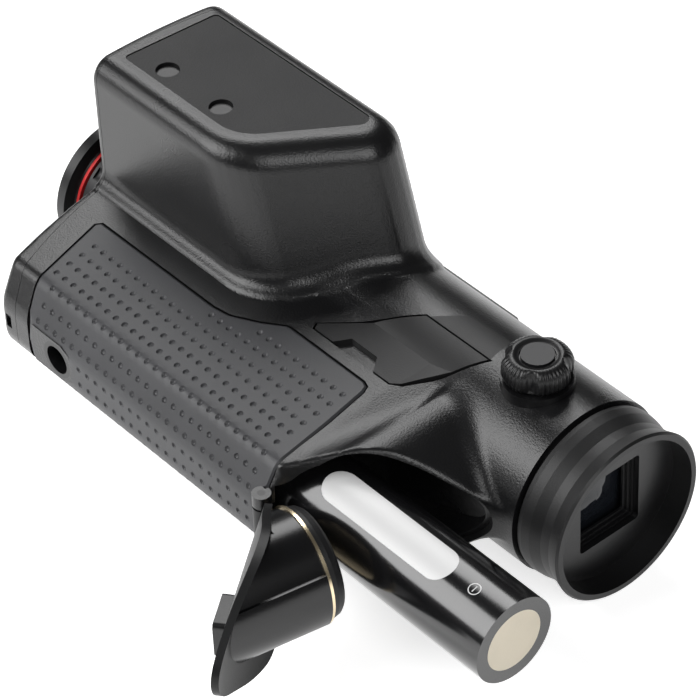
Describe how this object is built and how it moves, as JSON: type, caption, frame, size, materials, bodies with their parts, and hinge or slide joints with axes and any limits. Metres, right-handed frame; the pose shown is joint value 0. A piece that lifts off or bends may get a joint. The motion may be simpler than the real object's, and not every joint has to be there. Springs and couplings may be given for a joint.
{
  "type": "thermal monocular",
  "caption": "Hand-held thermal monocular with a side range finder, focus ring, side knob, sprung buttons, port flap and an open battery door with its cell partly out.",
  "frame": {"origin": "on the eyepiece axis, in the plane of the eyecup's outer rim", "axes": "+X leaves the eyepiece towards the user's eye, +Z points to the range finder side, -Y is the underside with the tripod thread"},
  "size_m": [0.1569, 0.1067, 0.0639],
  "materials": {
    "shell_black": "fine-grained semi-gloss near-black moulding",
    "pad_grey": "matt dark rubber with moulded dimples",
    "black_gloss": "gloss black",
    "dark_plastic": "satin dark plastic",
    "rubber_soft": "soft matt rubber",
    "accent_red": "anodised red",
    "black_metal": "black anodised",
    "dark_metal": "dark anodised, fine turned",
    "steel": "plain steel",
    "brass": "gold-plated contact",
    "lens_glass": "coated lens",
    "ir_glass": "coated germanium",
    "board_green": "circuit board",
    "cell_wrap": "glossy dark sleeve",
    "cell_cream": "nickel end face, warm",
    "label_white": "printed white patch, bare"
  },
  "bodies": {
    "body": {"left_shell": "shell_black", "right_shell": "shell_black", "front_bezel": "shell_black", "rangefinder_cover": "shell_black", "rangefinder_plate": "black_metal", "plate_screws": "black_metal", "emitter_lens": "lens_glass", "receiver_lens": "lens_glass", "rangefinder_module": "dark_plastic", "grip_pad": "pad_grey", "tripod_plate": "shell_black", "tripod_insert": "black_metal", "lanyard_pin": "steel", "lens_barrel": "black_metal", "accent_ring": "accent_red", "lens_hood": "black_metal", "front_lens": "ir_glass", "rear_lens": "ir_glass", "retaining_ring": "black_metal", "sensor_module": "dark_plastic", "main_board": "board_green", "display_module": "dark_plastic", "eyepiece_tube": "black_metal", "inner_eye_lens": "lens_glass", "outer_eye_lens": "lens_glass", "window_plate": "dark_plastic", "eyecup": "rubber_soft", "knob_base_ring": "black_metal", "flap_anchor": "rubber_soft", "usb_socket": "steel", "button_panel": "dark_plastic", "battery_tube": "black_gloss", "front_contact": "brass", "door_hinge_pin": "steel", "case_screws": "black_metal"},
    "focus": {"focus_ring": "dark_metal"},
    "knob": {"knob_cap": "dark_metal", "knob_disc": "dark_metal", "knob_shaft": "steel"},
    "flap": {"usb_flap": "rubber_soft"},
    "door": {"door_leaf": "shell_black", "door_barrel": "dark_plastic", "door_ring": "brass", "door_contact_ring": "brass", "door_seal": "rubber_soft"},
    "latch": {"door_latch": "dark_plastic"},
    "cell": {"cell_can": "cell_wrap", "cell_end_disc": "cell_cream", "cell_positive_cap": "cell_cream", "cell_label": "label_white"},
    "key_1": {"button_1": "rubber_soft"},
    "key_2": {"button_2": "rubber_soft"},
    "key_3": {"button_3": "rubber_soft"},
    "key_4": {"button_4": "rubber_soft"}
  },
  "joints": [
    {"name": "focus_turn", "type": "hinge", "parent": "body", "child": "focus", "pos_m": [-0.139, -0.007, 0], "axis": [-1, 0, 0], "range_deg": [-60, 60]},
    {"name": "dioptre_turn", "type": "hinge", "parent": "body", "child": "knob", "pos_m": [-0.0249, 0, 0.022], "axis": [0, 0, 1], "range_deg": [-140, 140]},
    {"name": "flap_swing", "type": "hinge", "parent": "body", "child": "flap", "pos_m": [-0.0443, -0.0028, 0.01859], "axis": [-1, 0, 0], "range_deg": [0, 95]},
    {"name": "door_swing", "type": "hinge", "parent": "body", "child": "door", "pos_m": [-0.046, -0.0514, 0], "axis": [0, 0, 1], "range_deg": [0, 100.7]},
    {"name": "latch_slide", "type": "slide", "parent": "door", "child": "latch", "axis": [0.606, -0.7955, 0], "range_m": [-0.0018, 0.0018]},
    {"name": "cell_slide", "type": "slide", "parent": "body", "child": "cell", "axis": [1, 0, 0], "range_m": [0, 0.31]},
    {"name": "button_1_press", "type": "slide", "parent": "body", "child": "key_1", "axis": [0, -1, 0], "range_m": [0, 0.0008], "stiffness_N_per_m": 900, "springref_m": -0.0006},
    {"name": "button_2_press", "type": "slide", "parent": "body", "child": "key_2", "axis": [0, -1, 0], "range_m": [0, 0.0008], "stiffness_N_per_m": 900, "springref_m": -0.0006},
    {"name": "button_3_press", "type": "slide", "parent": "body", "child": "key_3", "axis": [0, -1, 0], "range_m": [0, 0.0008], "stiffness_N_per_m": 900, "springref_m": -0.0006},
    {"name": "button_4_press", "type": "slide", "parent": "body", "child": "key_4", "axis": [0, -1, 0], "range_m": [0, 0.0008], "stiffness_N_per_m": 900, "springref_m": -0.0006}
  ],
  "couplings": [
    {"joint": "cell_slide", "follows": "door_swing", "m_per_rad": 0.1763}
  ]
}
